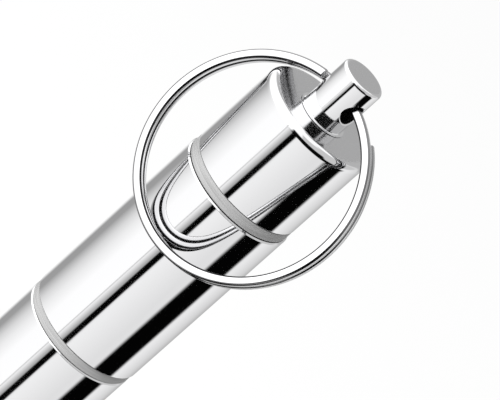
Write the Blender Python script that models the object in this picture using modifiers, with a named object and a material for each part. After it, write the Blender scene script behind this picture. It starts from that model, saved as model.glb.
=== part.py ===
# Toothpick holder keychain: a screw-together metal tube with a cross-drilled post and a split ring.
# It stands on its base at the origin, with +Z up the tube. The post's cross hole runs along X.

import bpy
import numpy as np
from math import pi, radians, sin, tan
from mathutils import Euler, Matrix, Vector

mm = 0.001

# Tube segments, from the base up
bore_diameter = 12.0 * mm
lower_tube_wall = 0.9 * mm
lower_tube_length = 44.25 * mm
middle_tube_wall = 0.975 * mm
middle_tube_length = 23.0 * mm
cap_wall = 0.825 * mm
cap_length = 10.9 * mm
cap_top_thickness = 1.3 * mm
cap_shoulder_width = 0.7 * mm
cap_shoulder_height = 0.66 * mm
cap_shoulder_round = 0.3 * mm
rim_chamfer = 0.15 * mm
edge_break = 0.07 * mm
ceiling_fillet = 0.8 * mm

# Base plug, pressed into the bottom of the lower tube
plug_flange_height = 1.0 * mm
plug_flange_inset = 0.2 * mm
plug_flange_round = 0.45 * mm
plug_spigot_length = 3.0 * mm
plug_spigot_chamfer = 0.3 * mm

# Seal rings in the two seams
lower_seal_height = 1.05 * mm
cap_seal_height = 1.25 * mm
seal_inset = 0.03 * mm
seal_edge_round = 0.1 * mm

# Threaded necks, pressed into the top of the lower and the middle tube
neck_wall = 0.96 * mm
neck_tail_length = 5.0 * mm
neck_relief_length = 0.8 * mm
neck_relief_depth = 0.35 * mm
thread_length = 4.6 * mm
thread_clearance = 0.14 * mm
thread_lead_in = 0.4 * mm
neck_mouth_chamfer = 0.25 * mm

# Clearances
press_clearance = 0.04 * mm
running_clearance = 0.05 * mm
seat_gap = 0.08 * mm

# Ring post, a stud whose tail is headed over inside the cap
post_diameter = 5.15 * mm
post_length = 6.15 * mm
post_end_chamfer = 0.16 * mm
post_base_fillet = 0.3 * mm
post_shank_diameter = 3.0 * mm
post_head_diameter = 4.6 * mm
post_head_height = 0.7 * mm
post_head_round = 0.45 * mm
post_seat_gap = 0.04 * mm
hole_diameter = 2.6 * mm
hole_from_post_end = 3.235 * mm
hole_countersink = 0.12 * mm

# Split ring: two turns of flat wire with a crossover between its cut ends
ring_outer_diameter = 24.9 * mm
wire_width = 1.0 * mm
wire_thickness = 0.92 * mm
wire_edge_chamfer = 0.13 * mm
turn_gap = 0.05 * mm
free_end_lift = 0.12 * mm
rear_end_angle = radians(28.5)
front_end_angle = radians(-15.0)
crossover_start_angle = radians(-14.0)
crossover_end_angle = radians(4.0)
free_end_lift_angle = radians(30.0)
ring_skew = radians(9.2)
ring_tilt = radians(4.8)
strand_forward = 0.15 * mm
strand_above_hole_centre = 0.5 * mm
ring_rest_gap = 0.08 * mm
steepest_lean = radians(60.0)

# Drawing detail and cutters
turning_steps = 48
fillet_steps = 4
fine_edge = 0.28 * mm
ring_points_per_turn = 72
lean_search_points = 720
lean_search_rounds = 40
cut_overrun = 0.5 * mm
axis_weld = 0.002 * mm

# Heights and radii worked out from the sizes above
bore_radius = bore_diameter / 2
lower_tube_radius = bore_radius + lower_tube_wall
middle_tube_radius = bore_radius + middle_tube_wall
cap_radius = bore_radius + cap_wall
neck_tail_radius = bore_radius - press_clearance
neck_bore_radius = neck_tail_radius - neck_wall
lower_tube_bottom = plug_flange_height + seat_gap
lower_tube_top = lower_tube_bottom + lower_tube_length
lower_seal_bottom = lower_tube_top + seat_gap
middle_tube_bottom = lower_seal_bottom + lower_seal_height + seat_gap
middle_tube_top = middle_tube_bottom + middle_tube_length
cap_seal_bottom = middle_tube_top + seat_gap
cap_bottom = cap_seal_bottom + cap_seal_height + seat_gap
cap_face = cap_bottom + cap_length
post_radius = post_diameter / 2
post_shank_radius = post_shank_diameter / 2
hole_radius = hole_diameter / 2
hole_height = cap_face + post_length - hole_from_post_end
strand_radius = (ring_outer_diameter - wire_width) / 2
turn_pitch = wire_thickness + turn_gap


def clear_scene():
    for item in list(bpy.data.objects):
        bpy.data.objects.remove(item, do_unlink=True)


def new_collection(name):
    collection = bpy.data.collections.new(name)
    bpy.context.scene.collection.children.link(collection)
    return collection


def new_material(name, colour, roughness, metallic):
    material = bpy.data.materials.new(name)
    material.use_nodes = True
    shader = material.node_tree.nodes["Principled BSDF"]
    shader.inputs["Base Color"].default_value = (*colour, 1.0)
    shader.inputs["Roughness"].default_value = roughness
    shader.inputs["Metallic"].default_value = metallic
    return material


def rounded_outline(corners, closed):
    """Turns corners given as radius, height and fillet radius into points.

    Each fillet is an arc, and one too small to see is a plain break of the edge."""
    points = []
    last = len(corners) - 1
    for index, (radius, height, fillet) in enumerate(corners):
        corner = Vector((radius, height))
        if fillet == 0 or (not closed and index in (0, last)):
            points.append(corner)
            continue
        before = Vector(corners[index - 1][:2]) - corner
        after = Vector(corners[(index + 1) % len(corners)][:2]) - corner
        half_angle = before.angle(after) / 2
        room = min(before.length, after.length) * tan(half_angle) / 2
        size = min(fillet, room)
        centre = corner + (before.normalized() + after.normalized()).normalized() * size / sin(half_angle)
        start = corner + before.normalized() * size / tan(half_angle) - centre
        end = corner + after.normalized() * size / tan(half_angle) - centre
        sweep = pi - 2 * half_angle
        steps = 1 if size < fine_edge else fillet_steps
        for step in range(steps + 1):
            share = step / steps
            points.append(centre + (start * sin((1 - share) * sweep) + end * sin(share * sweep)) / sin(sweep))
    return points


def turned(name, corners, closed, material, collection):
    """A turned solid: its outline runs down the outer side and is swept once round Z."""
    outline = rounded_outline(corners, closed)
    count = len(outline)
    edges = [(index, index + 1) for index in range(count - 1)]
    if closed:
        edges.append((count - 1, 0))
    mesh = bpy.data.meshes.new(name)
    mesh.from_pydata([(point.x, 0, point.y) for point in outline], edges, [])
    piece = bpy.data.objects.new(name, mesh)
    mesh.materials.append(material)
    collection.objects.link(piece)
    sweep = piece.modifiers.new("Turn", "SCREW")
    sweep.axis = "Z"
    sweep.steps = turning_steps
    sweep.render_steps = turning_steps
    sweep.use_merge_vertices = True
    sweep.merge_threshold = axis_weld
    sweep.use_smooth_shade = False
    return piece


def set_height(piece, height):
    piece.location = (0, 0, height)
    return piece


def baked(piece):
    """The piece with its modifiers applied and its round faces shaded smooth up to 30 degrees."""
    depsgraph = bpy.context.evaluated_depsgraph_get()
    mesh = bpy.data.meshes.new_from_object(piece.evaluated_get(depsgraph))
    piece.modifiers.clear()
    piece.data = mesh
    mesh.shade_smooth()
    mesh.set_sharp_from_angle(angle=radians(30))
    return piece


def base_plug(material, collection):
    """A pressed-in disc whose flange closes the tube's end and is the flat foot."""
    flange_radius = lower_tube_radius - plug_flange_inset
    spigot_radius = bore_radius - press_clearance
    top = plug_flange_height + plug_spigot_length
    corners = [
        (0, top, 0),
        (spigot_radius - plug_spigot_chamfer, top, 0),
        (spigot_radius, top - plug_spigot_chamfer, 0),
        (spigot_radius, plug_flange_height, 0),
        (flange_radius, plug_flange_height, edge_break),
        (flange_radius, 0, plug_flange_round),
        (0, 0, 0),
    ]
    return turned("base_plug", corners, False, material, collection)


def plain_tube(name, radius, length, material, collection):
    """A through-bored tube: a bright chamfer round its top rim and a fine break on its lower one."""
    corners = [
        (radius - rim_chamfer, length, 0),
        (radius, length - rim_chamfer, 0),
        (radius, 0, edge_break),
        (bore_radius, 0, edge_break),
        (bore_radius, length, edge_break),
    ]
    return turned(name, corners, True, material, collection)


def seal_ring(name, outer_radius, height, material, collection):
    """A flat ring round the neck, flush with the smaller of the two segments that it parts."""
    inner_radius = neck_tail_radius + running_clearance
    corners = [
        (outer_radius, height, seal_edge_round),
        (outer_radius, 0, seal_edge_round),
        (inner_radius, 0, edge_break),
        (inner_radius, height, edge_break),
    ]
    return turned(name, corners, True, material, collection)


def threaded_neck(name, seal_height, material, collection):
    """A bored sleeve: a pressed tail, a land under the seal, a relief, and the thread's envelope."""
    land_top = seat_gap + seal_height + seat_gap
    relief_top = land_top + neck_relief_length
    top = relief_top + thread_length
    thread_radius = bore_radius - thread_clearance
    relief_radius = thread_radius - neck_relief_depth
    corners = [
        (thread_radius - thread_lead_in, top, 0),
        (thread_radius, top - thread_lead_in, 0),
        (thread_radius, relief_top, 0),
        (relief_radius, relief_top, 0),
        (relief_radius, land_top, 0),
        (neck_tail_radius, land_top, edge_break),
        (neck_tail_radius, -neck_tail_length, edge_break),
        (neck_bore_radius, -neck_tail_length, neck_mouth_chamfer),
        (neck_bore_radius, top, neck_mouth_chamfer),
    ]
    return turned(name, corners, True, material, collection)


def cap_shell(material, collection):
    """The cap: a turned cup with a rounded shoulder and a hole for the post's shank."""
    ceiling = cap_length - cap_top_thickness
    shank_hole_radius = post_shank_radius + press_clearance
    corners = [
        (shank_hole_radius, cap_length, 0),
        (cap_radius - cap_shoulder_width, cap_length, cap_shoulder_round),
        (cap_radius, cap_length - cap_shoulder_height, cap_shoulder_round),
        (cap_radius, 0, edge_break),
        (bore_radius, 0, edge_break),
        (bore_radius, ceiling, ceiling_fillet),
        (shank_hole_radius, ceiling, 0),
    ]
    return turned("cap_shell", corners, True, material, collection)


def post_hole_cutter(collection):
    """The cross hole, opened out by a small countersink at each mouth."""
    mouth = post_radius - hole_countersink
    reach = post_radius + cut_overrun
    wide = hole_radius + hole_countersink + cut_overrun
    corners = [
        (0, reach, 0),
        (wide, reach, 0),
        (hole_radius, mouth, 0),
        (hole_radius, -mouth, 0),
        (wide, -reach, 0),
        (0, -reach, 0),
    ]
    cutter = turned("post_hole_cutter", corners, False, None, collection)
    cutter.rotation_euler = (0, pi / 2, 0)
    cutter.hide_render = True
    cutter.display_type = "WIRE"
    return cutter


def ring_post(material, collection, cutters):
    """The stud: a polished post, a shank through the cap's top and a head formed over inside."""
    shank_bottom = -cap_top_thickness - post_seat_gap
    head_bottom = shank_bottom - post_head_height
    foot_radius = post_radius + post_base_fillet
    head_radius = post_head_diameter / 2
    corners = [
        (0, post_length, 0),
        (post_radius - post_end_chamfer, post_length, 0),
        (post_radius, post_length - post_end_chamfer, 0),
        (post_radius, post_seat_gap, post_base_fillet),
        (foot_radius, post_seat_gap, 0),
        (post_shank_radius, post_seat_gap, 0),
        (post_shank_radius, shank_bottom, 0),
        (head_radius, shank_bottom, 0),
        (head_radius, head_bottom, post_head_round),
        (0, head_bottom, 0),
    ]
    post = turned("ring_post", corners, False, material, collection)
    cutter = post_hole_cutter(cutters)
    cutter.location = (0, 0, post_length - hole_from_post_end)
    cutter.parent = post
    cut = post.modifiers.new("Cross hole", "BOOLEAN")
    cut.operation = "DIFFERENCE"
    cut.object = cutter
    return post


def eased(share):
    """A smooth step from 0 to 1 with level ends."""
    share = np.clip(share, 0, 1)
    return share * share * (3 - 2 * share)


def ring_path():
    """Both turns as one path in the ring's plane. Angles start at the hole and grow towards +X.

    The wire starts at its cut end in the rear layer, runs round to the crossover, climbs to the
    front layer, passes through the post and runs round again to its other cut end."""
    start = rear_end_angle
    climb_start = crossover_start_angle + 2 * pi
    climb_end = crossover_end_angle + 2 * pi
    end = front_end_angle + 4 * pi
    count = round((end - start) / (2 * pi) * ring_points_per_turn) + 1
    angles = np.linspace(start, end, count)
    height = turn_pitch * (eased((angles - climb_start) / (climb_end - climb_start)) - 1)
    lift = free_end_lift * eased(1 - (angles - start) / free_end_lift_angle)
    radius = strand_radius + lift
    return np.stack([radius * np.sin(angles), radius * np.cos(angles) - strand_radius, height], axis=1)


def poly_curve(name, points, cyclic, collection):
    data = bpy.data.curves.new(name, "CURVE")
    spline = data.splines.new("POLY")
    spline.points.add(len(points) - 1)
    for place, point in zip(spline.points, points):
        place.co = (*point, 1.0)
    spline.use_cyclic_u = cyclic
    curve = bpy.data.objects.new(name, data)
    collection.objects.link(curve)
    return curve


def wire_section(collection):
    """The wire's cross-section: a flat rectangle with its corners broken."""
    across = wire_width / 2
    along = wire_thickness / 2
    chamfer = wire_edge_chamfer
    points = []
    for side_x, side_y in ((1, 1), (1, -1), (-1, -1), (-1, 1)):
        flat_end = (side_x * (across - chamfer), side_y * along, 0)
        side_end = (side_x * across, side_y * (along - chamfer), 0)
        points += [flat_end, side_end] if side_x * side_y > 0 else [side_end, flat_end]
    section = poly_curve("wire_section", points, True, collection)
    section.data.dimensions = "2D"
    section.hide_render = True
    section.display_type = "WIRE"
    return section


def ring_turn(lean):
    """The ring's turning from hanging in the XZ plane to its place at rest."""
    return Euler((-lean, -ring_tilt, ring_skew), "XYZ").to_matrix()


def strand_place():
    """Where the wire's middle crosses the post, measured from the hole's centre."""
    return Vector((0, -strand_forward, strand_above_hole_centre))


def gap_to_holder(lean):
    """The least gap from the ring's rear inner edge to the tube and the cap beside it."""
    angles = np.linspace(0, 2 * pi, lean_search_points)
    radius = strand_radius - wire_width / 2
    back = turn_pitch + wire_thickness / 2
    local = np.stack([radius * np.sin(angles), np.full_like(angles, back), radius * np.cos(angles) - strand_radius])
    place = np.array(ring_turn(lean)) @ local + np.array(strand_place())[:, None]
    height = place[2] + hole_height
    limit = np.where(height > cap_bottom, cap_radius, max(middle_tube_radius, lower_tube_radius))
    beside = height < cap_face - cap_shoulder_height
    return np.min(np.hypot(place[0], place[1])[beside] - limit[beside])


def resting_lean():
    """The ring's lean at rest, found by halving: just enough for it to lie on the tube."""
    low = 0.0
    high = steepest_lean
    for _ in range(lean_search_rounds):
        middle = (low + high) / 2
        if gap_to_holder(middle) < ring_rest_gap:
            low = middle
        else:
            high = middle
    return high


def split_ring(material, collection, guides):
    """The two turns as one wire, placed in the post's hole by a pivot on the hole's axis."""
    ring = poly_curve("split_ring", ring_path(), False, collection)
    ring.data.dimensions = "3D"
    ring.data.twist_mode = "Z_UP"
    ring.data.bevel_mode = "OBJECT"
    ring.data.bevel_object = wire_section(guides)
    ring.data.use_fill_caps = True
    ring.data.materials.append(material)
    pivot = bpy.data.objects.new("ring_pivot", None)
    pivot.location = (0, 0, hole_height)
    collection.objects.link(pivot)
    ring.parent = pivot
    standing = Matrix.Rotation(pi / 2, 3, "X")
    ring.rotation_euler = (ring_turn(resting_lean()) @ standing).to_euler("XYZ")
    ring.location = strand_place()
    return ring


def build():
    clear_scene()
    parts = new_collection("toothpick_holder_keychain")
    cutters = new_collection("cutters_and_guides")
    mirror_steel = new_material("mirror polished steel", (0.78, 0.78, 0.79), 0.06, 1.0)
    turned_steel = new_material("turned steel", (0.62, 0.62, 0.63), 0.3, 1.0)
    grey_silicone = new_material("grey silicone", (0.45, 0.45, 0.45), 0.55, 0.0)
    ring_steel = new_material("polished ring wire", (0.74, 0.74, 0.75), 0.1, 1.0)

    lower_seal_radius = min(lower_tube_radius, middle_tube_radius) - seal_inset
    cap_seal_radius = min(cap_radius, middle_tube_radius) - seal_inset

    base_plug(turned_steel, parts)
    lower = plain_tube("lower_tube", lower_tube_radius, lower_tube_length, mirror_steel, parts)
    set_height(lower, lower_tube_bottom)
    set_height(threaded_neck("lower_neck", lower_seal_height, turned_steel, parts), lower_tube_top)
    lower_seal = seal_ring("lower_seal", lower_seal_radius, lower_seal_height, grey_silicone, parts)
    set_height(lower_seal, lower_seal_bottom)
    middle = plain_tube("middle_tube", middle_tube_radius, middle_tube_length, mirror_steel, parts)
    set_height(middle, middle_tube_bottom)
    set_height(threaded_neck("upper_neck", cap_seal_height, turned_steel, parts), middle_tube_top)
    cap_seal = seal_ring("cap_seal", cap_seal_radius, cap_seal_height, grey_silicone, parts)
    set_height(cap_seal, cap_seal_bottom)
    set_height(cap_shell(mirror_steel, parts), cap_bottom)
    set_height(ring_post(mirror_steel, parts, cutters), cap_face)
    ring = split_ring(ring_steel, parts, cutters)

    bpy.context.view_layer.update()
    for piece in parts.objects:
        if piece.type == "MESH":
            baked(piece)
    print("lean at rest, degrees:", round(float(np.degrees(resting_lean())), 3))
    print("ring pivot height, mm:", round(hole_height / mm, 3), "ring:", ring.name)


build()
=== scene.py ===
# %% [markdown]
# # Toothpick holder keychain
#
# A slim metal tube in three segments that screw together, with a grey silicone ring in each seam.
# A cross-drilled post stands on the cap, and a split ring passes through its hole.
# Nearly everything here is turned on a lathe and mirror polished. So the lesson is about exact
# round surfaces, whose reflections run true, and about what stands round a polished object.

# %% The frame
from math import cos, pi, radians, sin, tan

import bmesh
import bpy
import numpy as np
from mathutils import Euler, Matrix, Vector


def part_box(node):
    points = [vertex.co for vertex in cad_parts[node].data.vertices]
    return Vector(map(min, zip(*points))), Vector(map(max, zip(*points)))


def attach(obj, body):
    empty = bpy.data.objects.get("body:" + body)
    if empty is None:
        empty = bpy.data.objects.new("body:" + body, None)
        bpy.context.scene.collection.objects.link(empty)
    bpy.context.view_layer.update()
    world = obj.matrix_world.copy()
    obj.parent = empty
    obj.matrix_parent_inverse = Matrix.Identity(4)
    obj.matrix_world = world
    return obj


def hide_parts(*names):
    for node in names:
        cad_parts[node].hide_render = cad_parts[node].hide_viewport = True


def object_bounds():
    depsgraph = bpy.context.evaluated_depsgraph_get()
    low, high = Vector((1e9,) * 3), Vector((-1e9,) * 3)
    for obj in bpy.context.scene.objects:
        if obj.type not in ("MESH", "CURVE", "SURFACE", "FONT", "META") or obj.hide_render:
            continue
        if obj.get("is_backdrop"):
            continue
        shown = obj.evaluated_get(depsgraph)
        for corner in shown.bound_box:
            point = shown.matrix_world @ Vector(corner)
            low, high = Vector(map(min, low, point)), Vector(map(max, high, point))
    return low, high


mm = 0.001
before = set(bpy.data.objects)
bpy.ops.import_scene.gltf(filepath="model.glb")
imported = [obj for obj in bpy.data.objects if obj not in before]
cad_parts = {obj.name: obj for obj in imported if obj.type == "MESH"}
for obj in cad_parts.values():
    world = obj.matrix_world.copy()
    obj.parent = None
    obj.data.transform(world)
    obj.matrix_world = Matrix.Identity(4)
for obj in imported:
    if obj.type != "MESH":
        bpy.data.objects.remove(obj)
cad_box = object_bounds()
print("nodes in the frame:", ", ".join(sorted(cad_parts)))

# %% [markdown]
# The solids in the frame are faceted, and the pieces made here are smooth ones in the same places.
# Each radius and height is read from its solid's box, so the smooth piece fits it exactly.
# Sizes that a box can't give, such as a bore or a wall, are written out.

# %% Sizes
bore_radius = 6.0 * mm
fine_break = 0.05 * mm


def bottom_of(node):
    """The height of a solid's lowest point."""
    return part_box(node)[0].z


def top_of(node):
    """The height of a solid's highest point."""
    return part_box(node)[1].z


def radius_of(node):
    """The outer radius of a turned solid: how far its box reaches along X."""
    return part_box(node)[1].x


print("overall height, mm:", round(top_of("ring_post") / mm, 2))

# %% [markdown]
# ## Turned surfaces
#
# A lathe makes a solid by turning one outline round an axis, and a script can do the same: a point
# is a function of its place along the outline and of the angle round the axis. Blender's Screw
# modifier would do it too, but a grid worked out with numpy leaves room for a thread, which is the
# same surface with its radius changed by a wave that climbs as it goes round.
#
# A corner's fillet is an arc of short steps. Smooth shading averages the faces at each point, so a
# long wall next to a fillet would pick up some of its slope and bend its reflections. A pair of
# points close to each corner keeps that to a hair's breadth.

# %% Outlines
fillet_steps = 8
support_distance = 0.03 * mm


def fillet_arc(corner, before, after, half_angle, size):
    """Points of a fillet between the unit directions to the corners before and after.

    The arc is tangent to both sides: it starts at size / tan(half angle) from the corner, and its
    centre lies on the corner's bisector at size / sin(half angle)."""
    reach = size / tan(half_angle)
    centre = corner + (before + after).normalized() * size / sin(half_angle)
    start = corner + before * reach - centre
    end = corner + after * reach - centre
    sweep = pi - 2 * half_angle
    points = []
    for step in range(fillet_steps + 1):
        share = step / fillet_steps
        along = start * sin((1 - share) * sweep) + end * sin(share * sweep)
        points.append(centre + along / sin(sweep))
    return points


def rounded(corners, closed=False):
    """Points of an outline. Each corner is a radius, a height and a fillet radius.

    A fillet takes no more than half of the shorter side next to it."""
    points = []
    last = len(corners) - 1
    for index, (radius, height, fillet) in enumerate(corners):
        corner = Vector((radius, height))
        if not closed and index in (0, last):
            points.append(corner)
            continue
        before = Vector(corners[index - 1][:2]) - corner
        after = Vector(corners[(index + 1) % len(corners)][:2]) - corner
        half_angle = before.angle(after) / 2
        room = min(before.length, after.length) * tan(half_angle) / 2
        size = min(fillet, room)
        clear = size / tan(half_angle) + support_distance
        if before.length > 2 * clear:
            points.append(corner + before.normalized() * clear)
        if size == 0:
            points.append(corner)
        else:
            points += fillet_arc(corner, before.normalized(), after.normalized(), half_angle, size)
        if after.length > 2 * clear:
            points.append(corner + after.normalized() * clear)
    return np.array(points)


def wall_rows(radius, start, end, spacing):
    """Points along a straight wall, close enough together to carry a thread."""
    count = int(round(abs(end - start) / spacing)) + 1
    return np.stack([np.full(count, radius), np.linspace(start, end, count)], axis=1)


# %% Grids and meshes
turning_steps = 192
weld_distance = 0.001 * mm
smooth_limit = radians(30)


def grid_faces(rows, columns, rows_closed, columns_closed):
    """Four-cornered faces of a grid whose rows run down the outside and columns go round."""
    row = np.arange(rows if rows_closed else rows - 1)[:, None]
    column = np.arange(columns if columns_closed else columns - 1)[None, :]
    next_row = (row + 1) % rows
    next_column = (column + 1) % columns
    corners = [
        row * columns + column,
        next_row * columns + column,
        next_row * columns + next_column,
        row * columns + next_column,
    ]
    return np.stack(corners, axis=-1).reshape(-1, 4)


def new_object(name, data):
    """An object at the origin, linked to the scene."""
    made = bpy.data.objects.new(name, data)
    bpy.context.scene.collection.objects.link(made)
    return made


def mesh_piece(name, points, faces):
    """An object whose mesh holds these points and faces, welded where they meet."""
    mesh = bpy.data.meshes.new(name)
    mesh.from_pydata(points.reshape(-1, 3).tolist(), [], faces.tolist())
    work = bmesh.new()
    work.from_mesh(mesh)
    bmesh.ops.remove_doubles(work, verts=work.verts, dist=weld_distance)
    bmesh.ops.dissolve_degenerate(work, edges=work.edges, dist=weld_distance / 10)
    work.to_mesh(mesh)
    work.free()
    mesh.shade_smooth()
    mesh.set_sharp_from_angle(angle=smooth_limit)
    print(name, "is made of", len(mesh.polygons), "faces")
    return new_object(name, mesh)


def turned(name, outline, closed, thread=None):
    """The outline turned round Z: a point is radius × cos(angle), radius × sin(angle), height.

    A thread adds to the radius of the points that lie on its wall."""
    angle = np.linspace(0, 2 * pi, turning_steps, endpoint=False)
    radius = np.repeat(outline[:, :1], turning_steps, axis=1)
    height = np.repeat(outline[:, 1:], turning_steps, axis=1)
    if thread is not None:
        radius = radius + thread(radius, angle[None, :], height)
    points = np.stack([radius * np.cos(angle), radius * np.sin(angle), height], axis=-1)
    return mesh_piece(name, points, grid_faces(len(outline), turning_steps, closed, True))


# %% [markdown]
# ## Metal and silicone
#
# The holder is stainless steel. A mirror polish leaves the metal's own grey and a very low
# roughness, with a faint haze from the polishing wheel that runs round the tube. The end faces are
# only turned: the tool leaves rings too fine to see, which smear a reflection across the rings and
# not along them. That smear is anisotropy, and it makes the bright and dark fans of a lathe-cut face.
#
# The seals are moulded silicone, which is matt, with fine lines from the mould. The ring is spring
# wire, plated bright, and its two cut ends stay as the shear tore them.

# %% Colours and nodes


def colour(hex_code):
    """An sRGB hex colour as linear red, green, blue and alpha."""
    values = [int(hex_code[place:place + 2], 16) / 255 for place in (1, 3, 5)]
    linear = [v / 12.92 if v <= 0.04045 else ((v + 0.055) / 1.055) ** 2.4 for v in values]
    return (*linear, 1.0)


def fill_sockets(tree, node, sockets):
    """Gives each named socket a value, or a link from an output or from a node's first output."""
    for name, value in sockets.items():
        if isinstance(value, bpy.types.Node):
            value = value.outputs[0]
        if isinstance(value, bpy.types.NodeSocket):
            tree.links.new(value, node.inputs[name])
        else:
            node.inputs[name].default_value = value


def add_node(tree, kind, sockets=None, **settings):
    """Adds a node with its settings, and fills its sockets."""
    made = tree.nodes.new(kind)
    for name, value in settings.items():
        setattr(made, name, value)
    fill_sockets(tree, made, sockets or {})
    return made


def new_material(name):
    """A new material, with its node tree and its Principled BSDF."""
    material = bpy.data.materials.new(name)
    material.use_nodes = True
    return material, material.node_tree, material.node_tree.nodes["Principled BSDF"]


def per_metre(size):
    """The noise scale that gives a pattern with features of this size."""
    return 1 / size


def distance_round(tree, value, centre, whole):
    """|value - centre| where the scale comes round again after the whole: never over half of it."""
    offset = add_node(tree, "ShaderNodeMath", {0: value, 1: centre}, operation="SUBTRACT")
    wrapped = add_node(tree, "ShaderNodeMath", {0: offset, 1: whole / 2, 2: -whole / 2}, operation="WRAP")
    return add_node(tree, "ShaderNodeMath", {0: wrapped}, operation="ABSOLUTE")


def hairlines(tree, place, lengths, detail):
    """Noise whose features have these lengths along the axes of a place: lines where one is short."""
    stretch = tuple(per_metre(length) for length in lengths)
    stretched = add_node(tree, "ShaderNodeVectorMath", {0: place, 1: stretch}, operation="MULTIPLY")
    noise = {"Vector": stretched, "Scale": 1.0, "Detail": detail}
    return add_node(tree, "ShaderNodeTexNoise", noise)


# %% Mirror polished stainless steel
polishing_line_spacing = 0.12 * mm
polishing_line_length = 6.0 * mm
polishing_line_depth = 0.002 * mm
smear_size = 4.0 * mm
clear_roughness = 0.045
hazy_roughness = 0.075


def mirror_polished_steel():
    """Stainless steel off the mop: a clear reflection, a trace of haze, hairlines round the tube.

    The haze follows broad smears of noise. The hairlines are finer on the real tube, and are drawn
    just coarse enough to show."""
    material, tree, shader = new_material("mirror polished stainless steel")
    place = add_node(tree, "ShaderNodeTexCoord").outputs["Object"]
    round_the_tube = (polishing_line_length, polishing_line_length, polishing_line_spacing)
    lines = hairlines(tree, place, round_the_tube, 3.0)
    smears = add_node(
        tree, "ShaderNodeTexNoise", {"Vector": place, "Scale": per_metre(smear_size), "Detail": 4.0},
    )
    haze = add_node(
        tree, "ShaderNodeMapRange",
        {"Value": smears, "From Min": 0.35, "From Max": 0.7,
         "To Min": clear_roughness, "To Max": hazy_roughness},
    )
    bump = add_node(
        tree, "ShaderNodeBump", {"Height": lines, "Strength": 0.05, "Distance": polishing_line_depth},
    )
    fill_sockets(tree, shader, {
        "Base Color": colour("#EBEBEC"), "Metallic": 1.0, "Roughness": haze, "Normal": bump,
    })
    return material


# %% Turned stainless steel
tool_mark_spacing = 0.08 * mm
faced_mark_depth = 0.001 * mm
bored_mark_depth = 0.004 * mm


def turned_steel(name, roughness, anisotropy, depth, hex_code="#DADADB"):
    """A lathe-cut face: rings from the tool, and reflections smeared outwards across them.

    The grain runs round the axis, so the tangent is the cross product of Z and the place, whose
    length is the distance from the axis that the rings follow."""
    material, tree, shader = new_material(name)
    place = add_node(tree, "ShaderNodeTexCoord").outputs["Object"]
    around = add_node(tree, "ShaderNodeVectorMath", {0: (0, 0, 1), 1: place}, operation="CROSS_PRODUCT")
    grain = add_node(tree, "ShaderNodeVectorMath", {0: around}, operation="NORMALIZE")
    from_axis = add_node(tree, "ShaderNodeVectorMath", {0: around}, operation="LENGTH").outputs["Value"]
    rings = add_node(
        tree, "ShaderNodeTexNoise",
        {"W": from_axis, "Scale": per_metre(tool_mark_spacing), "Detail": 2.0}, noise_dimensions="1D",
    )
    bump = add_node(tree, "ShaderNodeBump", {"Height": rings, "Strength": 0.15, "Distance": depth})
    fill_sockets(tree, shader, {
        "Base Color": colour(hex_code), "Metallic": 1.0, "Roughness": roughness,
        "Anisotropic": anisotropy, "Tangent": grain, "Normal": bump,
    })
    return material


# %% Grey silicone
moulding_line_spacing = 0.09 * mm
moulding_line_length = 5.0 * mm
moulding_line_depth = 0.02 * mm


def grey_silicone():
    """A moulded silicone ring: matt grey, with fine lines round it from the turned mould."""
    material, tree, shader = new_material("moulded grey silicone")
    place = add_node(tree, "ShaderNodeTexCoord").outputs["Object"]
    round_the_ring = (moulding_line_length, moulding_line_length, moulding_line_spacing)
    lines = hairlines(tree, place, round_the_ring, 3.0)
    tone = add_node(tree, "ShaderNodeValToRGB", {"Fac": lines})
    dark, pale = tone.color_ramp.elements
    dark.position = 0.3
    dark.color = colour("#8A8A8A")
    pale.position = 0.7
    pale.color = colour("#A5A5A5")
    bump = add_node(
        tree, "ShaderNodeBump", {"Height": lines, "Strength": 0.35, "Distance": moulding_line_depth},
    )
    fill_sockets(tree, shader, {
        "Base Color": tone, "Roughness": 0.6, "Specular IOR Level": 0.3, "Normal": bump,
    })
    return material


# %% Bright plated spring wire
wire_width = 1.0 * mm
wire_thickness = 0.92 * mm
wire_edge_round = 0.3 * mm
drawing_line_spacing = 0.06 * mm
drawing_line_depth = 0.002 * mm
# The wire's corners get a painted shade: dark lines that stand in for the shade between the two turns.
shaded_corner_half_width = 0.1 * mm
shaded_corner_fade = 0.06 * mm
outer_corner_shade_share = 0.75


def shade_at_corner(tree, girth, corner_place, whole_girth, shade_share):
    """How much painted shade one corner puts on a place on the wire's girth: its full share at the corner,
    none beyond.
    """
    distance = distance_round(tree, girth, corner_place, whole_girth)
    shade_reach = shaded_corner_half_width + shaded_corner_fade
    return add_node(
        tree, "ShaderNodeMapRange",
        {"Value": distance, "From Min": shaded_corner_half_width, "From Max": shade_reach,
         "To Min": shade_share, "To Max": 0.0},
        interpolation_type="SMOOTHSTEP",
    )


def corner_shade_on_wire(tree, girth):
    """How much painted shade the wire has at a place on its girth: the most that any of its four corners
    gives it.

    The girth starts at an outer corner and goes corner, face, corner, flank, twice."""
    corner_length = wire_edge_round * pi / 2
    face_length = wire_width - 2 * wire_edge_round
    flank_length = wire_thickness - 2 * wire_edge_round
    whole_girth = 4 * corner_length + 2 * face_length + 2 * flank_length
    corners = [
        (0.5 * corner_length, outer_corner_shade_share),
        (1.5 * corner_length + face_length, 1.0),
        (2.5 * corner_length + face_length + flank_length, 1.0),
        (3.5 * corner_length + 2 * face_length + flank_length, outer_corner_shade_share),
    ]
    shade_amount = 0.0
    for corner_place, shade_share in corners:
        here = shade_at_corner(tree, girth, corner_place, whole_girth, shade_share)
        shade_amount = add_node(tree, "ShaderNodeMath", {0: here, 1: shade_amount}, operation="MAXIMUM")
    return shade_amount


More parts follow.
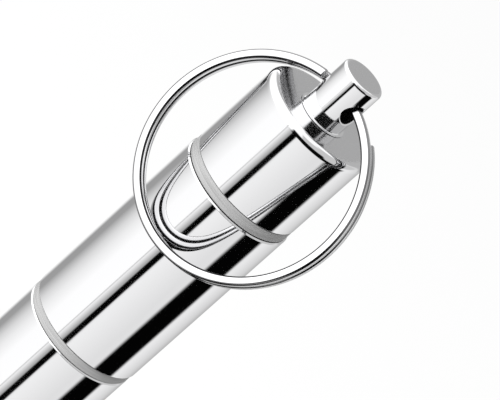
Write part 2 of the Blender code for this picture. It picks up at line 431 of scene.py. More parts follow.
def plated_wire():
    """Flat spring wire, plated bright: drawn through a die, so its hairlines run along it.

    Its corners are painted dark, a painted shade for the shade between the two turns: a black line at each
    inner corner and a grey line at each outer one. The roughness rises there too."""
    material, tree, shader = new_material("bright plated spring wire")
    along = add_node(tree, "ShaderNodeUVMap", uv_map="along the wire")
    girth = add_node(tree, "ShaderNodeSeparateXYZ", {0: along}).outputs["Y"]
    shade_amount = corner_shade_on_wire(tree, girth)
    # Painted shade: the dark tone goes where the corners are.
    tones = {0: shade_amount, 6: colour("#EBEBEC"), 7: colour("#2A2A2B")}
    tone = add_node(tree, "ShaderNodeMix", tones, data_type="RGBA").outputs[2]
    roughness = add_node(tree, "ShaderNodeMapRange", {"Value": shade_amount, "To Min": 0.08, "To Max": 0.25})
    along_the_wire = (polishing_line_length, drawing_line_spacing, polishing_line_length)
    lines = hairlines(tree, along, along_the_wire, 2.0)
    bump = add_node(
        tree, "ShaderNodeBump", {"Height": lines, "Strength": 0.06, "Distance": drawing_line_depth},
    )
    fill_sockets(tree, shader, {
        "Base Color": tone, "Metallic": 1.0, "Roughness": roughness, "Normal": bump,
    })
    return material


# %% Sheared steel
tear_size = 0.1 * mm


def sheared_steel():
    """The wire's cut ends: torn by the shear, so they are matt and stay grey all round."""
    material, tree, shader = new_material("sheared spring steel")
    place = add_node(tree, "ShaderNodeTexCoord").outputs["Object"]
    tears = add_node(
        tree, "ShaderNodeTexNoise", {"Vector": place, "Scale": per_metre(tear_size), "Detail": 3.0},
    )
    roughness = add_node(tree, "ShaderNodeMapRange", {"Value": tears, "To Min": 0.7, "To Max": 0.95})
    fill_sockets(tree, shader, {
        "Base Color": colour("#F2F2F3"), "Metallic": 1.0, "Roughness": roughness,
    })
    return material


# %% The finishes
mirror_steel = mirror_polished_steel()
faced_steel = turned_steel(
    "turned stainless steel end face", roughness=0.14, anisotropy=0.5, depth=faced_mark_depth,
)
bored_steel = turned_steel(
    "bored and threaded stainless steel", roughness=0.28, anisotropy=0.3, depth=bored_mark_depth,
)
# The drilled finish's dark grey is painted shade, for the shade inside the cross hole.
drilled_steel = turned_steel(
    "drilled stainless steel, dark with burnt oil", roughness=0.45, anisotropy=0.0,
    depth=bored_mark_depth, hex_code="#3C3C3D",
)
silicone = grey_silicone()
wire_steel = plated_wire()
cut_steel = sheared_steel()
print("materials:", ", ".join(material.name for material in bpy.data.materials))

# %% Giving a piece its finish
level_normal = 0.9999
sloping_normal = 0.5


def finish_piece(piece, material, node, body):
    """Gives a piece its material and its place in the assembly, as the stand-in for a CAD node."""
    piece.data.materials.append(material)
    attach(piece, body)
    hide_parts(node)


def face_places(piece):
    """The centre and the outward direction of every face."""
    count = len(piece.data.polygons)
    centres = np.empty(count * 3)
    normals = np.empty(count * 3)
    piece.data.polygons.foreach_get("center", centres)
    piece.data.polygons.foreach_get("normal", normals)
    return centres.reshape(-1, 3), normals.reshape(-1, 3)


def refinish(piece, faces, material):
    """Gives some of a piece's faces another finish."""
    piece.data.materials.append(material)
    index = np.zeros(len(piece.data.polygons), dtype=np.int32)
    piece.data.polygons.foreach_get("material_index", index)
    index[faces] = len(piece.data.materials) - 1
    piece.data.polygons.foreach_set("material_index", index)


def refinish_bore(piece):
    """Inside a tube the faces are bored and not polished: those towards the axis, and level ones."""
    centres, normals = face_places(piece)
    facing_in = np.sum(centres[:, :2] * normals[:, :2], axis=1) < 0
    within = np.hypot(centres[:, 0], centres[:, 1]) < bore_radius + fine_break
    refinish(piece, within & (facing_in | (abs(normals[:, 2]) > sloping_normal)), bored_steel)


def refinish_end(piece, top):
    """The end face is turned and not polished: the faces at the top that point straight up."""
    centres, normals = face_places(piece)
    refinish(piece, (normals[:, 2] > level_normal) & (centres[:, 2] > top - fine_break), faced_steel)


# %% [markdown]
# ## Threads
#
# The cap and the middle segment screw onto necks, so the necks carry an outside thread and the
# bores above them an inside one. Both are right-hand threads with a lead of 1 mm: going once round
# anticlockwise climbs one lead. At a given angle and height, the distance to the nearest ridge of
# the neck's thread is a triangle wave of height / lead - angle / full turn. The neck's radius falls
# with that distance, and the bore's ridges fill the valleys with a small clearance.

# %% Thread shape
thread_lead = 1.0 * mm
rows_per_lead = 14
thread_row_spacing = thread_lead / rows_per_lead
thread_outer_radius = 5.86 * mm
thread_root_radius = 5.53 * mm
inner_ridge_radius = 5.66 * mm
outer_crest_share = 0.13
outer_root_share = 0.33
inner_crest_share = 0.07
inner_root_share = 0.25


def ridge_distance(angle, height):
    """How far, as a share of the lead, the nearest ridge of the neck's thread is: 0 to a half."""
    phase = (height / thread_lead - angle / (2 * pi)) % 1
    return np.minimum(phase, 1 - phase)


def fade(height, low, high, length):
    """1 between low and high, falling to 0 at both over the given length."""
    rise = np.clip((height - low) / length, 0, 1)
    fall = np.clip((high - height) / length, 0, 1)
    return rise * fall


def outer_thread(low, high):
    """The cut into a neck's wall: nothing at a ridge, the thread's depth in a valley."""
    def cut(radius, angle, height):
        on_wall = abs(radius - thread_outer_radius) < weld_distance
        depth = np.interp(ridge_distance(angle, height), [outer_crest_share, outer_root_share], [0, 1])
        depth = depth * fade(height, low, high, thread_lead / 2)
        return on_wall * depth * (thread_root_radius - thread_outer_radius)
    return cut


def inner_thread(low, high):
    """The ridges inside a bore, which stand in the valleys of the neck's thread."""
    def raise_ridge(radius, angle, height):
        on_wall = abs(radius - bore_radius) < weld_distance
        from_valley = 0.5 - ridge_distance(angle, height)
        rise = np.interp(from_valley, [inner_crest_share, inner_root_share], [1, 0])
        rise = rise * fade(height, low, high, thread_lead / 2)
        return on_wall * rise * (inner_ridge_radius - bore_radius)
    return raise_ridge


print("depth of a neck's thread, mm:", round((thread_outer_radius - thread_root_radius) / mm, 2))

# %% [markdown]
# ## The tube's segments
#
# Each segment is a plain tube. Its top rim has a small bright chamfer, which shows as a white line
# under each grey seam, and its lower rim has only its burr taken off. The middle segment also has
# the inside thread that takes the lower one's neck.

# %% Tubes
rim_chamfer = 0.15 * mm
inner_thread_start = 0.6 * mm
inner_thread_length = 4.6 * mm


def lower_tube():
    """The lower segment: a plain tube, turned from a closed outline of its wall."""
    bottom, top, radius = bottom_of("lower_tube"), top_of("lower_tube"), radius_of("lower_tube")
    outline = rounded([
        (radius - rim_chamfer, top, fine_break),
        (radius, top - rim_chamfer, fine_break),
        (radius, bottom, fine_break),
        (bore_radius, bottom, fine_break),
        (bore_radius, top, fine_break),
    ], closed=True)
    piece = turned("lower_tube_polished", outline, True)
    finish_piece(piece, mirror_steel, "lower_tube", "lower_segment")
    refinish_bore(piece)


def middle_tube():
    """The middle segment: the same wall, with close rows in its bore that carry the thread."""
    bottom, top, radius = bottom_of("middle_tube"), top_of("middle_tube"), radius_of("middle_tube")
    thread_low = bottom + inner_thread_start
    thread_high = thread_low + inner_thread_length
    outside = rounded([
        (bore_radius + support_distance, top, 0),
        (radius - rim_chamfer, top, fine_break),
        (radius, top - rim_chamfer, fine_break),
        (radius, bottom, fine_break),
        (bore_radius, bottom, fine_break),
        (bore_radius, thread_low, 0),
    ])
    threaded = wall_rows(bore_radius, thread_low, thread_high, thread_row_spacing)
    plain = np.array([(bore_radius, top - support_distance)])
    outline = np.concatenate([outside[:-1], threaded, plain])
    piece = turned("middle_tube_polished", outline, True, inner_thread(thread_low, thread_high))
    finish_piece(piece, mirror_steel, "middle_tube", "middle_segment")
    refinish_bore(piece)


lower_tube()
middle_tube()

# %% [markdown]
# ## The threaded necks
#
# A neck is a bored sleeve pressed into the top of a segment. It has a land that the seal sits on,
# a relief where the threading tool runs out, the thread, and a lead-in chamfer at its top.

# %% Necks
neck_bore_radius = 5.0 * mm
neck_tail_radius = 5.96 * mm
neck_relief_length = 0.8 * mm
neck_mouth_chamfer = 0.25 * mm
thread_length = 4.6 * mm
thread_lead_in = 0.4 * mm


def threaded_neck(name, node, body):
    """A neck, turned from an outline that runs down its outside and up its bore."""
    bottom, top = bottom_of(node), top_of(node)
    thread_top = top - thread_lead_in
    thread_bottom = top - thread_length
    relief_bottom = thread_bottom - neck_relief_length
    upper = rounded([
        (neck_bore_radius + neck_mouth_chamfer, top, 0),
        (thread_outer_radius - thread_lead_in, top, fine_break),
        (thread_outer_radius, thread_top, 0),
        (thread_outer_radius, thread_bottom, 0),
    ])
    threaded = wall_rows(thread_outer_radius, thread_top, thread_bottom, thread_row_spacing)
    lower = rounded([
        (thread_outer_radius, thread_bottom, 0),
        (thread_root_radius, thread_bottom, 0),
        (thread_root_radius, relief_bottom, 0),
        (neck_tail_radius, relief_bottom, fine_break),
        (neck_tail_radius, bottom, fine_break),
        (neck_bore_radius + neck_mouth_chamfer, bottom, 0),
        (neck_bore_radius, bottom + neck_mouth_chamfer, 0),
        (neck_bore_radius, top - neck_mouth_chamfer, 0),
    ])
    outline = np.concatenate([upper[:-1], threaded[1:-1], lower])
    piece = turned(name, outline, True, outer_thread(thread_bottom, thread_top + thread_lead_in))
    finish_piece(piece, bored_steel, node, body)


threaded_neck("lower_neck_threaded", "lower_neck", "lower_segment")
threaded_neck("upper_neck_threaded", "upper_neck", "middle_segment")

# %% [markdown]
# ## The seals
#
# A flat silicone ring lies in each seam. It keeps the tube closed, and shows as a matt grey band
# with a dark line above and below it, where it doesn't quite meet the metal.

# %% Seals
seal_round = 0.1 * mm
seal_bore_radius = 6.01 * mm


def seal_ring(name, node, body):
    """A seal, turned from a rectangle whose two outer corners are rounded."""
    bottom, top, radius = bottom_of(node), top_of(node), radius_of(node)
    outline = rounded([
        (radius, top, seal_round),
        (radius, bottom, seal_round),
        (seal_bore_radius, bottom, fine_break),
        (seal_bore_radius, top, fine_break),
    ], closed=True)
    finish_piece(turned(name, outline, True), silicone, node, body)


seal_ring("lower_seal_moulded", "lower_seal", "lower_seal")
seal_ring("cap_seal_moulded", "cap_seal", "cap_seal")

# %% [markdown]
# ## The cap
#
# The cap is a deep cup with a rounded shoulder. Seen from above, the shoulder mirrors the whole
# studio from the height of the camera to the ceiling, squeezed into a band a millimetre wide.
# Its top face is turned and left unpolished, so it stays an even grey with soft fans of light and
# dark round the post.

# %% Cap
cap_face_height = top_of("cap_shell")
cap_top_thickness = 1.3 * mm
cap_shoulder_width = 0.92 * mm
cap_shoulder_height = 0.88 * mm
shoulder_steps = 16
ceiling_fillet = 0.8 * mm
shank_hole_radius = 1.54 * mm


def shoulder_curve(radius, top):
    """The shoulder's outline, a quarter of an ellipse: level at the face, upright at the wall."""
    angle = np.linspace(pi / 2, 0, shoulder_steps + 1)
    across = radius - cap_shoulder_width * (1 - np.cos(angle))
    height = top - cap_shoulder_height * (1 - np.sin(angle))
    return np.stack([across, height], axis=1)


def cap_shell():
    """The cap, turned from an outline that runs over its face, down its outside and up its bore."""
    bottom, top, radius = bottom_of("cap_shell"), cap_face_height, radius_of("cap_shell")
    ceiling = top - cap_top_thickness
    thread_low = bottom + inner_thread_start
    thread_high = thread_low + inner_thread_length
    face = np.array([
        (shank_hole_radius, top),
        (radius - cap_shoulder_width - support_distance, top),
    ])
    outside = rounded([
        (radius, top - cap_shoulder_height - support_distance, 0),
        (radius, bottom, fine_break),
        (bore_radius, bottom, fine_break),
        (bore_radius, thread_low, 0),
    ])
    threaded = wall_rows(bore_radius, thread_low, thread_high, thread_row_spacing)
    inside = rounded([
        (bore_radius, thread_high, 0),
        (bore_radius, ceiling, ceiling_fillet),
        (shank_hole_radius, ceiling, 0),
    ])
    outline = np.concatenate([face, shoulder_curve(radius, top), outside[:-1], threaded, inside[1:]])
    piece = turned("cap_polished", outline, True, inner_thread(thread_low, thread_high))
    finish_piece(piece, mirror_steel, "cap_shell", "cap")
    refinish_bore(piece)
    refinish_end(piece, top)


cap_shell()

# %% [markdown]
# ## The base plug
#
# The photograph crops the lower end. Such holders close it with a disc pressed into the tube, whose
# flange is the foot that it stands on.

# %% Base plug
plug_flange_height = 1.0 * mm
plug_flange_round = 0.45 * mm
plug_spigot_chamfer = 0.3 * mm


def base_plug():
    """The plug, turned from an open outline that starts and ends on the axis."""
    top = top_of("base_plug")
    flange_radius = radius_of("base_plug")
    outline = rounded([
        (0, top, 0),
        (neck_tail_radius - plug_spigot_chamfer, top, 0),
        (neck_tail_radius, top - plug_spigot_chamfer, 0),
        (neck_tail_radius, plug_flange_height, 0),
        (flange_radius, plug_flange_height, fine_break),
        (flange_radius, 0, plug_flange_round),
        (0, 0, 0),
    ])
    piece = turned("base_plug_turned", outline, False)
    finish_piece(piece, faced_steel, "base_plug", "lower_segment")


base_plug()

# %% [markdown]
# ## The ring post
#
# The post is a round bar with a rounded end and a hole drilled across it, and a round hole in a
# round bar has a saddle-shaped mouth. A Boolean would cut it, but would leave long thin triangles
# in a mirror surface. Here the wall is a grid that starts on the mouth's rim and spreads to the
# edges of half the wall, unrolled flat: each point is a share of the way from its rim point to its
# edge point. Rolled back onto the bar, every point lies exactly on the cylinder.

# %% Post sizes
post_radius = 2.575 * mm
post_end_round = 0.4 * mm
post_base_fillet = 0.3 * mm
post_foot_rim = 0.03 * mm
post_seat_gap = 0.04 * mm
post_shank_radius = 1.5 * mm
post_head_radius = 2.3 * mm
post_head_height = 0.7 * mm
post_head_round = 0.45 * mm
hole_radius = 1.3 * mm
hole_edge_break = 0.12 * mm
hole_height = 84.765 * mm
rim_radius = hole_radius + hole_edge_break
upright_normal = 0.1
side_steps = 48
rim_to_edge_steps = 28
rim_crowding = 1.5
bore_steps = 24

# %% The drilled wall


def wall_half(low, high):
    """Half of the post's wall round one mouth, as points, faces and each column's direction.

    A column leaves the hole's centre in the direction of its edge point. It starts on the rim, at
    an angle of arcsin(rim radius × cos(direction) / post radius) and a height of
    rim radius × sin(direction) from the centre, and its points crowd towards the rim."""
    share = np.arange(side_steps) / side_steps
    half_turn = pi / 2
    edge_angle = np.concatenate([
        half_turn * (2 * share - 1), np.full(side_steps, half_turn),
        half_turn * (1 - 2 * share), np.full(side_steps, -half_turn),
    ])
    edge_height = np.concatenate([
        np.full(side_steps, low), low + (high - low) * share,
        np.full(side_steps, high), high + (low - high) * share,
    ])
    direction = np.arctan2(edge_height - hole_height, edge_angle * post_radius)
    rim_angle = np.arcsin(rim_radius * np.cos(direction) / post_radius)
    rim_height = hole_height + rim_radius * np.sin(direction)
    step = np.linspace(0, 1, rim_to_edge_steps + 1)[:, None] ** rim_crowding
    angle = rim_angle + (edge_angle - rim_angle) * step
    height = rim_height + (edge_height - rim_height) * step
    points = np.stack([post_radius * np.cos(angle), post_radius * np.sin(angle), height], axis=-1)
    faces = grid_faces(rim_to_edge_steps + 1, 4 * side_steps, False, True)[:, ::-1]
    return points.reshape(-1, 3), faces, direction


def cross_hole(direction):
    """The bore along X and the broken edge at each mouth, which follows the saddle of the rim.

    At each direction round the hole, the bar's wall lies at
    sqrt(post radius² - (radius × cos(direction))²) along X."""
    rim_reach = np.sqrt(post_radius**2 - (rim_radius * np.cos(direction)) ** 2)
    bore_reach = np.sqrt(post_radius**2 - (hole_radius * np.cos(direction)) ** 2) - hole_edge_break
    share = np.linspace(1, -1, bore_steps + 1)[:, None]
    along = np.concatenate([rim_reach[None], bore_reach * share, -rim_reach[None]])
    radius = np.concatenate([[rim_radius], np.full(bore_steps + 1, hole_radius), [rim_radius]])[:, None]
    points = np.stack([
        along,
        np.broadcast_to(radius * np.cos(direction), along.shape),
        np.broadcast_to(hole_height + radius * np.sin(direction), along.shape),
    ], axis=-1)
    faces = grid_faces(len(along), 4 * side_steps, False, True)
    return points.reshape(-1, 3), faces


# %% The whole post


def joined(parts):
    """Several sets of points and faces as one, with the faces renumbered."""
    points = np.concatenate([part[0] for part in parts])
    starts = np.cumsum([0] + [len(part[0]) for part in parts[:-1]])
    faces = np.concatenate([part[1] + start for part, start in zip(parts, starts)])
    return points, faces


def turned_part(outline):
    """Points and faces of an open outline turned round Z, with columns in line with the wall's."""
    columns = 2 * side_steps
    angle = np.linspace(0, 2 * pi, columns, endpoint=False) - pi / 2
    points = np.stack([
        outline[:, :1] * np.cos(angle),
        outline[:, :1] * np.sin(angle),
        np.repeat(outline[:, 1:], columns, axis=1),
    ], axis=-1)
    return points.reshape(-1, 3), grid_faces(len(outline), columns, False, True)


def ring_post():
    """The post: its end above the drilled wall, and its foot, shank and riveted head below it."""
    top = top_of("ring_post")
    foot = cap_face_height + post_seat_gap
    shank_bottom = cap_face_height - cap_top_thickness - post_seat_gap
    head_bottom = shank_bottom - post_head_height
    wall_low = foot + post_foot_rim + post_base_fillet + support_distance
    wall_high = top - 2 * post_end_round
    end = rounded([
        (0, top, 0),
        (post_radius, top, post_end_round),
        (post_radius, wall_high, 0),
    ])
    below = rounded([
        (post_radius, wall_low, 0),
        (post_radius, foot + post_foot_rim, post_base_fillet),
        (post_radius + post_base_fillet, foot + post_foot_rim, 0),
        (post_radius + post_base_fillet, foot, 0),
        (post_shank_radius, foot, 0),
        (post_shank_radius, shank_bottom, 0),
        (post_head_radius, shank_bottom, fine_break),
        (post_head_radius, head_bottom, post_head_round),
        (0, head_bottom, 0),
    ])
    near, near_faces, direction = wall_half(wall_low, wall_high)
    far = near * [-1, 1, 1]
    points, faces = joined([
        (near, near_faces),
        (far, near_faces[:, ::-1]),
        cross_hole(direction),
        turned_part(end),
        turned_part(below),
    ])
    piece = mesh_piece("ring_post_polished", points, faces)
    finish_piece(piece, mirror_steel, "ring_post", "cap")
    refinish_end(piece, top)
    centres, normals = face_places(piece)
    within_hole = np.hypot(centres[:, 1], centres[:, 2] - hole_height) < hole_radius + fine_break
    # The wall inside the hole takes the drilled finish, whose dark grey is painted shade.
    refinish(piece, within_hole & (abs(normals[:, 0]) < upright_normal), drilled_steel)


ring_post()

# %% [markdown]
# ## The split ring
#
# A split ring is one flat wire wound twice. It starts at a cut end in the rear layer, goes round
# once, crosses over to the front layer where it passes the post and goes round again. The path is a
# circle whose height steps from one layer to the other, and the wire's section is carried along it
# with one side always facing the ring's centre. A curve with a bevel would twist there, and would
# leave no map of the girth, which the wire's finish needs.

# %% Ring path
ring_outer_radius = 12.45 * mm
strand_radius = ring_outer_radius - wire_width / 2
turn_gap = 0.05 * mm
turn_pitch = wire_thickness + turn_gap
wire_start = radians(28.5)
climb_start = radians(-14)
climb_end = radians(4)
wire_end = radians(-15)
free_end_sweep = radians(30)
free_end_lift = 0.12 * mm
points_per_turn = 300
end_break = 0.03 * mm


def eased(share):
    """A smooth step from 0 to 1: share² × (3 - 2 × share)."""
    share = np.clip(share, 0, 1)
    return share * share * (3 - 2 * share)


def wire_path():
    """Angles along the wire, with the radius and the layer's height at each. 0 is at the post.

    The height steps down one pitch during the climb, and the radius starts with the lift of the
    free end and loses it over that end's sweep, both eased."""
    full_turn = 2 * pi
    end = 2 * full_turn + wire_end
    end_break_angle = end_break / strand_radius
    count = round((end - wire_start) / full_turn * points_per_turn)
    between = np.linspace(wire_start + end_break_angle, end - end_break_angle, count)
    angle = np.concatenate([[wire_start], between, [end]])
    behind = turn_pitch * (1 - eased((angle - full_turn - climb_start) / (climb_end - climb_start)))
    radius = strand_radius + free_end_lift * eased(1 - (angle - wire_start) / free_end_sweep)
    return angle, radius, behind


# %% The wire's surface
corner_points = 9
end_break_share = 0.93
wire_smooth_limit = radians(50)


def wire_section():
    """The wire's section as radial and sideways distances: a rectangle with rounded corners."""
    angle = np.linspace(0, pi / 2, corner_points)
    half_size = np.array([wire_width / 2, wire_thickness / 2]) - wire_edge_round
    corner = np.stack([np.cos(angle), np.sin(angle)], axis=1) * wire_edge_round + half_size
    mirrored = corner[::-1] * [-1, 1]
    return np.concatenate([corner, mirrored, -corner, -mirrored])


def distance_along(points):
    """How far along its line each point lies: the running sum of the steps between them."""
    steps = np.linalg.norm(np.diff(points, axis=0), axis=1)
    return np.concatenate([[0], np.cumsum(steps)])


def wire_surface():
    """The wire's points, one row for each section, with the length and the girth at each.

    A point is the path's middle + outwards × its radial distance + Y × its sideways distance.
    The sections at the two ends are a little smaller, which breaks the edges there."""
    angle, radius, behind = wire_path()
    section = wire_section()
    outwards = np.stack([np.sin(angle), np.zeros_like(angle), np.cos(angle)], axis=1)
    sideways = np.array([0.0, 1.0, 0.0])
    middle = outwards * radius[:, None] + sideways * behind[:, None]
    size_share = np.ones(len(angle))
    size_share[[0, -1]] = end_break_share
    spread = section[None] * size_share[:, None, None]
    points = middle[:, None] + outwards[:, None] * spread[..., :1] + sideways * spread[..., 1:]
    return points, distance_along(middle), distance_along(section)


def wire_mesh(name, points, length, girth):
    """The wire's mesh with a face on each cut end, and a UV map that holds length and girth."""
    rows, columns = points.shape[:2]
    sides = grid_faces(rows, columns, False, True).tolist()
    first_end = list(range(columns))
    last_end = [(rows - 1) * columns + place for place in reversed(range(columns))]
    mesh = bpy.data.meshes.new(name)
    mesh.from_pydata(points.reshape(-1, 3).tolist(), [], sides + [first_end, last_end])
    uv = np.stack(np.broadcast_arrays(length[:, None], girth[None, :]), axis=-1).reshape(-1, 2)
    loops = np.zeros(len(mesh.loops), dtype=np.int32)
    mesh.loops.foreach_get("vertex_index", loops)
    mesh.uv_layers.new(name="along the wire").data.foreach_set("uv", uv[loops].ravel())
    work = bmesh.new()
    work.from_mesh(mesh)
    bmesh.ops.recalc_face_normals(work, faces=work.faces)
    work.to_mesh(mesh)
    work.free()
    mesh.shade_smooth()
    mesh.set_sharp_from_angle(angle=wire_smooth_limit)
    return mesh


# %% Ring in place
ring_lean = radians(20.806)
ring_tilt = radians(4.8)
ring_skew = radians(9.2)
strand_forward = 0.15 * mm
strand_above_hole_centre = 0.5 * mm


def hung_on_post(points):
    """The ring's points in the holder's frame.

    The strand that passes the post is brought to the origin, the ring is turned about it by its
    lean, tilt and skew, and the strand is put in the cross hole."""
    from_strand = points - np.array([0, 0, strand_radius])
    turn = np.array(Euler((-ring_lean, -ring_tilt, ring_skew), "XYZ").to_matrix())
    strand_place = np.array([0, -strand_forward, strand_above_hole_centre + hole_height])
    return from_strand @ turn.T + strand_place


def split_ring():
    """The ring, hung on the post, with its two cut ends left as the shear tore them."""
    points, length, girth = wire_surface()
    name = "split_ring_wire"
    piece = new_object(name, wire_mesh(name, hung_on_post(points), length, girth))
    finish_piece(piece, wire_steel, "split_ring", "ring")
    end_faces = [-2, -1]
    refinish(piece, end_faces, cut_steel)
    print("the ring's wire is", round(length[-1] / mm, 1), "mm long")


split_ring()

# %% [markdown]
# ## The studio
#
# A mirror finish shows only what stands round it. The photograph was lit in a white tent, with a
# dark camera, two black flags that draw the stripes on the tube, a few grey cards and the dark edge
# of the table. They are drawn on the world by bearing and elevation, soft at their edges, and only
# reflections see them. Real cards would have to be kept out of the picture and out of the light.
# The floor stays white to the camera and still keeps the holder's shadow.

# %% Camera
camera_azimuth = radians(32.695)
camera_elevation = radians(24.189)
camera_roll = radians(48.13)
camera_distance = 418.77 * mm
camera_sideways = 1.48 * mm
target_height = 69.662 * mm
sensor_width_in_mm = 36.0
focal_length_in_mm = 296.1
nearest_seen = 10 * mm
farthest_seen = 20.0


def towards(heading, elevation):
    """The unit vector that points along a heading, measured from X, and up by an elevation."""
    return Vector((cos(heading) * cos(elevation), sin(heading) * cos(elevation), sin(elevation)))


def place_camera():
    """A long lens, looking down at the upper half of the holder and rolled about its own axis."""
    data = bpy.data.cameras.new("camera")
    data.sensor_width = sensor_width_in_mm
    data.lens = focal_length_in_mm
    data.clip_start = nearest_seen
    data.clip_end = farthest_seen
    camera = new_object("camera", data)
    back = towards(camera_azimuth - pi / 2, camera_elevation)
    right = Vector((cos(camera_azimuth), sin(camera_azimuth), 0))
    up = back.cross(right)
    rolled_right = right * cos(camera_roll) + up * sin(camera_roll)
    rolled_up = up * cos(camera_roll) - right * sin(camera_roll)
    target = Vector((0, 0, target_height)) + right * camera_sideways
    axes = Matrix((rolled_right, rolled_up, back)).transposed().to_4x4()
    camera.matrix_world = Matrix.Translation(target + back * camera_distance) @ axes
    bpy.context.scene.camera = camera


place_camera()
print("the camera stands", round(camera_distance / mm), "mm from the holder")

# %% Floor
floor_size = 3.0
floor_drop = 0.05 * mm
floor_own_light_share = 0.85


def white_paper():
    """White paper. To the camera part of its white is its own light, and the rest takes shadows."""
    material, tree, shader = new_material("white paper sweep")
    fill_sockets(tree, shader, {
        "Base Color": colour("#FFFFFF"), "Roughness": 0.9, "Specular IOR Level": 0.0,
    })
    glow = add_node(tree, "ShaderNodeEmission", {"Color": (1, 1, 1, 1), "Strength": 1.0})
    seen = add_node(tree, "ShaderNodeLightPath").outputs["Is Camera Ray"]
    share = add_node(tree, "ShaderNodeMath", {0: seen, 1: floor_own_light_share}, operation="MULTIPLY")
    mix = add_node(tree, "ShaderNodeMixShader", {0: share, 1: shader, 2: glow})
    fill_sockets(tree, tree.nodes["Material Output"], {"Surface": mix})
    return material


def white_floor():
    """A square of white paper just under the holder, which reflections pass by."""
    half = floor_size / 2
    square = [(-half, -half), (half, -half), (half, half), (-half, half)]
    mesh = bpy.data.meshes.new("floor")
    mesh.from_pydata([(x, y, -floor_drop) for x, y in square], [], [(0, 1, 2, 3)])
    mesh.materials.append(white_paper())
    floor = new_object("floor", mesh)
    floor.visible_glossy = False
    floor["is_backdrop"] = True


white_floor()

# %% The tent's white
# Each stop is a bearing in degrees to the right of the camera, and the tent's grey there.
tent_stops = [
    (-180, "#DEDEDE"), (-164, "#E8E8E8"), (-146, "#989898"), (-126, "#9B9B9B"), (-100, "#D8D8D8"),
    (-84, "#ECECEC"), (-60, "#FEFEFE"), (-26, "#FFFFFF"), (-14, "#A8A8A8"), (2, "#EFEFEF"), (50, "#DEDEDE"),
    (112, "#E8E8E8"), (140, "#D0D0D0"), (166, "#A8A8A8"), (180, "#DEDEDE"),
]
all_round = 360.0


def tent_shade(tree, bearing):
    """The tent's grey at a bearing: a ramp whose place is a half + bearing / all round."""
    factor = add_node(
        tree, "ShaderNodeMapRange",
        {"Value": bearing, "From Min": -all_round / 2, "From Max": all_round / 2,
         "To Min": 0.0, "To Max": 1.0},
    )
    ramp = add_node(tree, "ShaderNodeValToRGB", {"Fac": factor})
    stops = ramp.color_ramp.elements
    stops[0].color = colour(tent_stops[0][1])
    stops[-1].color = colour(tent_stops[-1][1])
    for direction, grey in tent_stops[1:-1]:
        stops.new((direction + all_round / 2) / all_round).color = colour(grey)
    return ramp


print(len(tent_stops), "greys round the tent")

# %% Cards and flags
# Each has a bearing and an elevation for its centre, half its size both ways, all in degrees, how
# soft its edge is, its grey and how much brighter than white paper it is. Later ones stand in front.
cards = [
    ("ceiling", (0, 90), (360, 44), 10, "#FFFFFF", 1.0),
    ("underside of the table", (0, -90), (360, 28), 10, "#1C1C1C", 1.0),
    ("dark table edge", (58, -56), (52, 18), 6, "#0C0C0C", 1.0),
    ("grey ceiling card", (70, 42), (60, 26), 8, "#C4C4C4", 1.0),
    ("grey back card", (178, 16), (34, 26), 8, "#B0B0B0", 1.0),
    ("soft box", (-83, 34), (56, 16), 26, "#FFFFFF", 1.45),
    ("camera", (22, 9), (33, 19), 7, "#0C0C0C", 1.0),
    ("black flag beside the camera", (53, 0), (38, 10), 8, "#050505", 1.0),
    ("broad black flag", (84, -35), (16, 25), 8, "#030303", 1.0),
    ("thin black flag", (-7, -30), (3.6, 26), 3, "#030303", 1.0),
    ("edge of the tent's door", (-25, -40), (0.6, 60), 1, "#D0D0D0", 1.0),
]


def beyond(tree, value, centre, half_size):
    """How far a direction lies outside a card, in degrees: |value - centre| - half its size."""
    distance = distance_round(tree, value, centre, all_round)
    return add_node(tree, "ShaderNodeMath", {0: distance, 1: half_size}, operation="SUBTRACT")


def put_card(tree, behind, bearing, elevation, card):
    """The shade with a card in front: the card's grey, fading out over its soft edge."""
    name, centre, half_size, softness, grey, brightness = card
    across = beyond(tree, bearing, centre[0], half_size[0])
    above = beyond(tree, elevation, centre[1], half_size[1])
    outside = add_node(tree, "ShaderNodeMath", {0: across, 1: above}, operation="MAXIMUM")
    cover = add_node(
        tree, "ShaderNodeMapRange",
        {"Value": outside, "From Min": 0.0, "From Max": float(softness), "To Min": 1.0, "To Max": 0.0},
        interpolation_type="SMOOTHSTEP", label=name,
    )
    shade = tuple(value * brightness for value in colour(grey))
    return add_node(tree, "ShaderNodeMix", {0: cover, 6: behind, 7: shade}, data_type="RGBA").outputs[2]


print("round the holder:", ", ".join(card[0] for card in cards))

# %% World
plain_level = 0.42
mirrored_level = 1.2


def in_degrees(tree, angle):
    """An angle in radians as degrees."""
    return add_node(tree, "ShaderNodeMath", {0: angle}, operation="DEGREES")


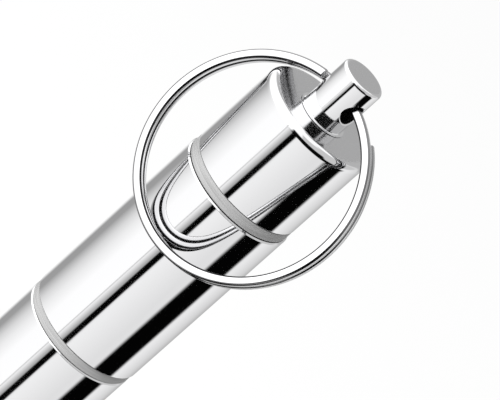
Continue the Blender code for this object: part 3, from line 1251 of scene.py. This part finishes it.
def bearing_and_elevation(tree):
    """Where a direction points, in degrees: to the right of the camera, and above the horizon.

    Turned so that the camera's side is X, they are arctan(y, x) and arcsin(z)."""
    direction = add_node(tree, "ShaderNodeTexCoord").outputs["Generated"]
    from_camera = add_node(
        tree, "ShaderNodeVectorRotate",
        {"Vector": direction, "Axis": (0, 0, 1), "Angle": pi / 2 - camera_azimuth},
        rotation_type="AXIS_ANGLE",
    )
    parts = add_node(tree, "ShaderNodeSeparateXYZ", {0: from_camera}).outputs
    around = add_node(tree, "ShaderNodeMath", {0: parts["Y"], 1: parts["X"]}, operation="ARCTAN2")
    up = add_node(tree, "ShaderNodeMath", {0: parts["Z"]}, operation="ARCSINE")
    return in_degrees(tree, around), in_degrees(tree, up)


def studio_world():
    """White to the camera, the tent and its cards to reflections, and an even light to the rest."""
    world = bpy.data.worlds.new("studio")
    world.use_nodes = True
    world.cycles.sampling_method = "NONE"
    bpy.context.scene.world = world
    tree = world.node_tree
    tree.nodes.clear()
    bearing, elevation = bearing_and_elevation(tree)
    shade = tent_shade(tree, bearing)
    for card in cards:
        shade = put_card(tree, shade, bearing, elevation, card)
    seen = add_node(tree, "ShaderNodeLightPath").outputs
    paper = (1, 1, 1, 1)
    plain, mirrored, white = [
        add_node(tree, "ShaderNodeBackground", {"Color": tone, "Strength": level})
        for tone, level in ((paper, plain_level), (shade, mirrored_level), (paper, 1.0))
    ]
    unseen = add_node(tree, "ShaderNodeMixShader", {0: seen["Is Glossy Ray"], 1: plain, 2: mirrored})
    result = add_node(tree, "ShaderNodeMixShader", {0: seen["Is Camera Ray"], 1: unseen, 2: white})
    add_node(tree, "ShaderNodeOutputWorld", {"Surface": result})


studio_world()

# %% Key lamp
key_bearing = radians(-40)
key_elevation = radians(35)
key_distance = 0.8
key_size = 0.35
key_watts = 9.0


def key_lamp():
    """A large soft box to the left of the camera. The cards stand for it in reflections."""
    data = bpy.data.lights.new("key soft box", "AREA")
    data.shape = "SQUARE"
    data.size = key_size
    data.energy = key_watts
    lamp = new_object("key soft box", data)
    lamp.visible_glossy = False
    away = towards(camera_azimuth - pi / 2 + key_bearing, key_elevation)
    place = Matrix.Translation(Vector((0, 0, target_height)) + away * key_distance)
    lamp.matrix_world = place @ away.to_track_quat("Z", "Y").to_matrix().to_4x4()


key_lamp()

# %% Sizes of the model and the finish
bpy.context.scene.view_settings.view_transform = "Standard"
visual_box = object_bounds()
plain_boxes = {"cad": [list(corner) for corner in cad_box], "visual": [list(corner) for corner in visual_box]}
for name, box in plain_boxes.items():
    print(name, "box, mm:", [[round(value / mm, 3) for value in corner] for corner in box])
